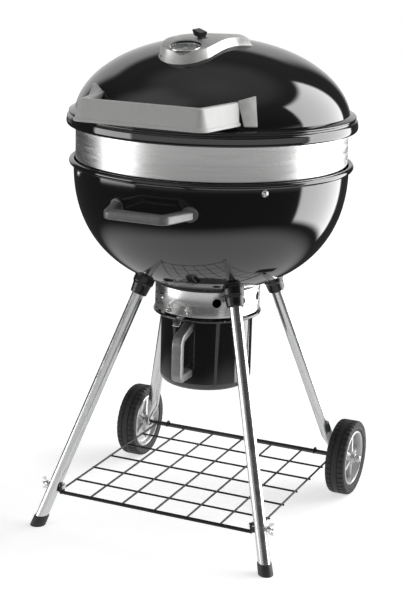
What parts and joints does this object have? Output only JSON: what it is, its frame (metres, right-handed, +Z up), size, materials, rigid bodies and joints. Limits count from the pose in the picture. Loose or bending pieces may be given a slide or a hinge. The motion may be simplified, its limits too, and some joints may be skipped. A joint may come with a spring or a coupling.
{
  "type": "kettle charcoal grill",
  "caption": "Round kettle charcoal grill: black enamelled bowl and lid with a steel band between them, ash pot, wire shelf, splayed tube legs, feet in front and wheels behind.",
  "frame": {"origin": "middle of the whole grill's footprint, on the floor", "axes": "+Z up, -Y towards the front where the handles are, +X to the right seen from the front"},
  "size_m": [0.5824, 0.6382, 1.0143],
  "materials": {
    "black_porcelain": "gloss black porcelain enamel on steel",
    "brushed_steel": "brushed stainless steel",
    "bright_steel": "bright plated steel",
    "dark_steel": "dull dark steel",
    "polished_aluminium": "polished aluminium tube",
    "satin_casting": "satin brushed casting",
    "silver_grip": "satin silver grey moulding",
    "grey_grip": "satin dark grey moulding",
    "black_metal": "satin black paint",
    "black_wire": "gloss black coated wire",
    "black_plastic": "black moulded plastic",
    "tyre_rubber": "black tyre with moulded tread",
    "hub_grey": "silver grey moulded hub",
    "dial_face": "dark printed dial",
    "gauge_glass": "clear glass",
    "needle_white": "white paint"
  },
  "bodies": {
    "stand": {"bowl_shell": "black_porcelain", "bowl_handle": "grey_grip", "bowl_handle_mount_left": "grey_grip", "bowl_handle_mount_right": "grey_grip", "ash_collar": "brushed_steel", "collar_ring": "black_metal", "latch_plate": "bright_steel", "leg_front_left": "polished_aluminium", "leg_front_right": "polished_aluminium", "leg_rear_left": "polished_aluminium", "leg_rear_right": "polished_aluminium", "leg_socket_front_left": "black_plastic", "leg_socket_front_right": "black_plastic", "leg_socket_rear_left": "black_plastic", "leg_socket_rear_right": "black_plastic", "foot_cap_left": "black_plastic", "foot_cap_right": "black_plastic", "wire_shelf": "black_wire", "shelf_bolt_left": "brushed_steel", "shelf_bolt_right": "brushed_steel", "wing_nut_left": "brushed_steel", "wing_nut_right": "brushed_steel", "axle": "black_metal", "axle_cap_left": "hub_grey", "axle_cap_right": "hub_grey", "grate_bracket_front_left": "brushed_steel", "grate_bracket_front_right": "brushed_steel", "grate_bracket_rear_left": "brushed_steel", "grate_bracket_rear_right": "brushed_steel", "grate_rivet_front_left": "brushed_steel", "grate_rivet_front_right": "brushed_steel", "grate_rivet_rear_left": "brushed_steel", "grate_rivet_rear_right": "brushed_steel"},
    "steel_band": {"steel_band": "brushed_steel"},
    "lid": {"lid_shell": "black_porcelain", "lid_handle": "silver_grip", "lid_handle_foot_left": "silver_grip", "lid_handle_foot_right": "silver_grip", "vent_cover": "satin_casting", "thermometer_case": "brushed_steel", "thermometer_face": "dial_face", "thermometer_glass": "gauge_glass"},
    "vent_slider": {"vent_slider_plate": "brushed_steel", "vent_knob": "black_plastic"},
    "thermometer_needle": {"thermometer_needle": "needle_white"},
    "cooking_grate": {"cooking_grate": "brushed_steel"},
    "grate_flap_left": {"grate_flap_left": "brushed_steel"},
    "grate_flap_right": {"grate_flap_right": "brushed_steel"},
    "charcoal_grate": {"charcoal_grate": "dark_steel"},
    "lower_damper": {"damper_blades": "dark_steel", "damper_lever": "bright_steel"},
    "ash_pot": {"ash_pot": "black_porcelain", "pot_handle": "grey_grip"},
    "latch_wire": {"latch_wire": "bright_steel"},
    "wheel_left": {"tyre_left": "tyre_rubber", "wheel_hub_left": "hub_grey"},
    "wheel_right": {"tyre_right": "tyre_rubber", "wheel_hub_right": "hub_grey"}
  },
  "joints": [
    {"name": "band_lift", "type": "slide", "parent": "stand", "child": "steel_band", "axis": [0, 0, 1], "range_m": [0, 0.15]},
    {"name": "lid_lift", "type": "slide", "parent": "steel_band", "child": "lid", "axis": [0, 0, 1], "range_m": [0, 0.35]},
    {"name": "vent_slide", "type": "slide", "parent": "lid", "child": "vent_slider", "axis": [0.5996, 0.7896, 0.1304], "range_m": [0, 0.011]},
    {"name": "needle_swing", "type": "hinge", "parent": "lid", "child": "thermometer_needle", "pos_m": [0.003, -0.1141, 0.96705], "axis": [0, -0.1392, 0.9903], "range_deg": [-250, 0], "stiffness_Nm_per_rad": 0.0005},
    {"name": "cooking_grate_lift", "type": "slide", "parent": "stand", "child": "cooking_grate", "axis": [0, 0, 1], "range_m": [0, 0.1]},
    {"name": "flap_left_hinge", "type": "hinge", "parent": "cooking_grate", "child": "grate_flap_left", "pos_m": [-0.132, 0.0279, 0.72386], "axis": [0, 1, 0], "range_deg": [0, 95]},
    {"name": "flap_right_hinge", "type": "hinge", "parent": "cooking_grate", "child": "grate_flap_right", "pos_m": [0.132, 0.0279, 0.72386], "axis": [0, -1, 0], "range_deg": [0, 95]},
    {"name": "charcoal_grate_lift", "type": "slide", "parent": "stand", "child": "charcoal_grate", "axis": [0, 0, 1], "range_m": [0, 0.1]},
    {"name": "damper_turn", "type": "hinge", "parent": "stand", "child": "lower_damper", "pos_m": [0, 0.0279, 0.488], "axis": [0, 0, 1], "range_deg": [0, 40]},
    {"name": "ash_pot_drop", "type": "slide", "parent": "stand", "child": "ash_pot", "axis": [0, 0, -1], "range_m": [0, 0.12]},
    {"name": "latch_swing", "type": "hinge", "parent": "stand", "child": "latch_wire", "pos_m": [-0.01566, -0.0835, 0.451], "axis": [0.9903, -0.1392, 0], "range_deg": [0, 110]},
    {"name": "wheel_left_spin", "type": "hinge", "parent": "stand", "child": "wheel_left", "pos_m": [-0.2515, 0.2339, 0.0815], "axis": [1, 0, 0], "continuous": true},
    {"name": "wheel_right_spin", "type": "hinge", "parent": "stand", "child": "wheel_right", "pos_m": [0.2515, 0.2339, 0.0815], "axis": [1, 0, 0], "continuous": true}
  ]
}
